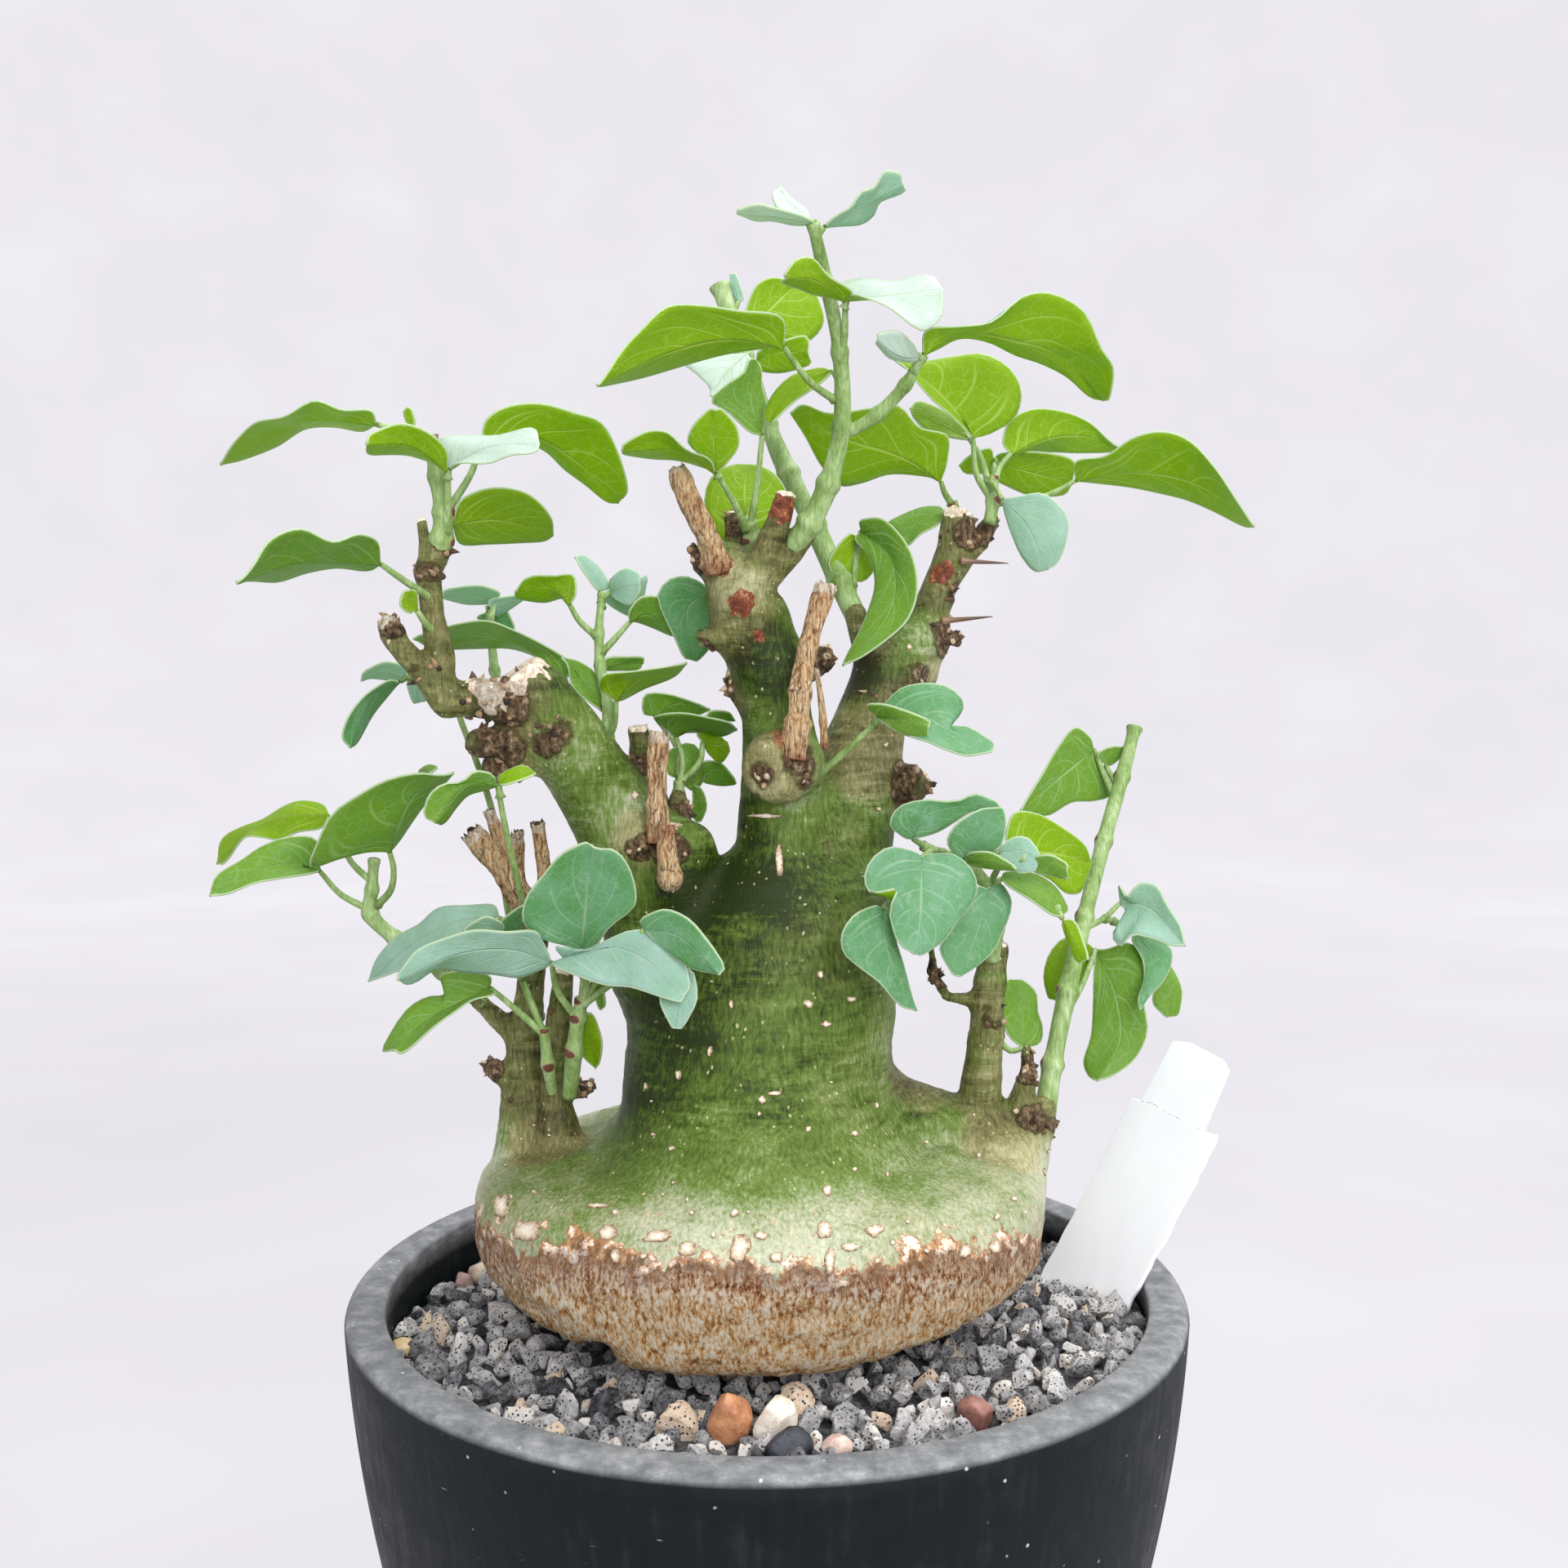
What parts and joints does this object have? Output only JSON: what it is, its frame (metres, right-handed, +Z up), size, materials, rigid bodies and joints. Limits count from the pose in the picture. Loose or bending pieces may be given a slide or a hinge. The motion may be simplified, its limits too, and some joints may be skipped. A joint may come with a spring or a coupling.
{
  "type": "potted adenia spinosa",
  "caption": "Potted adenia spinosa: a swollen green caudex with cut-back limbs, dry stubs and leafy shoots, in lava gravel in a dark round pot with a bare plant label.",
  "frame": {"origin": "centre of the pot's underside, on the surface that it stands on", "axes": "+Z up along the pot's axis, -Y toward the viewer of the picture, +X to the viewer's right"},
  "size_m": [0.2358, 0.18, 0.3598],
  "materials": {
    "pot": "dark grey matt glaze, dusty on the rim",
    "gravel": "rough porous grey lava chips",
    "pebble_ochre": "rough stone",
    "pebble_white": "smooth stone",
    "pebble_black": "glossy stone",
    "pebble_red": "rough stone",
    "pebble_cream": "smooth stone",
    "caudex": "smooth green bark above, cracked tan cork below",
    "dry_wood": "dry fibrous bark",
    "spine": "smooth, dark",
    "leaf": "matt waxy leaf",
    "label": "smooth white plastic with a paper tape sleeve"
  },
  "bodies": {
    "root": {"pot": "pot", "gravel_bed": "gravel", "pebble_ochre": "pebble_ochre", "pebble_white": "pebble_white", "pebble_black": "pebble_black", "pebble_red": "pebble_red", "pebble_cream": "pebble_cream", "caudex": "caudex", "dry_stub_front": "dry_wood", "dry_twig_front": "dry_wood", "dry_stub_top": "dry_wood", "dry_stub_middle": "dry_wood", "dry_stub_left_long": "dry_wood", "dry_stub_left_pale": "dry_wood", "dry_stub_left_round": "dry_wood", "dry_stub_left_near": "dry_wood", "spine_upper": "spine", "spine_lower": "spine", "spray_crown": "leaf", "spray_behind": "leaf", "spray_head": "leaf", "spray_right_stub": "leaf", "spray_right": "leaf", "spray_left_top": "leaf", "leaf_left_lance": "leaf", "leaf_left_small": "leaf", "spray_left_behind": "leaf", "spray_left_far": "leaf", "leaf_left_drooping": "leaf", "spray_middle": "leaf", "leaf_behind_crown": "leaf", "spray_left_middle": "leaf", "leaf_under_limb": "leaf", "spray_left_low": "leaf", "spray_left_front": "leaf", "leaf_front": "leaf", "spray_right_low": "leaf", "leaf_right_low": "leaf", "shoot_right": "leaf", "plant_label": "label"}
  },
  "joints": []
}
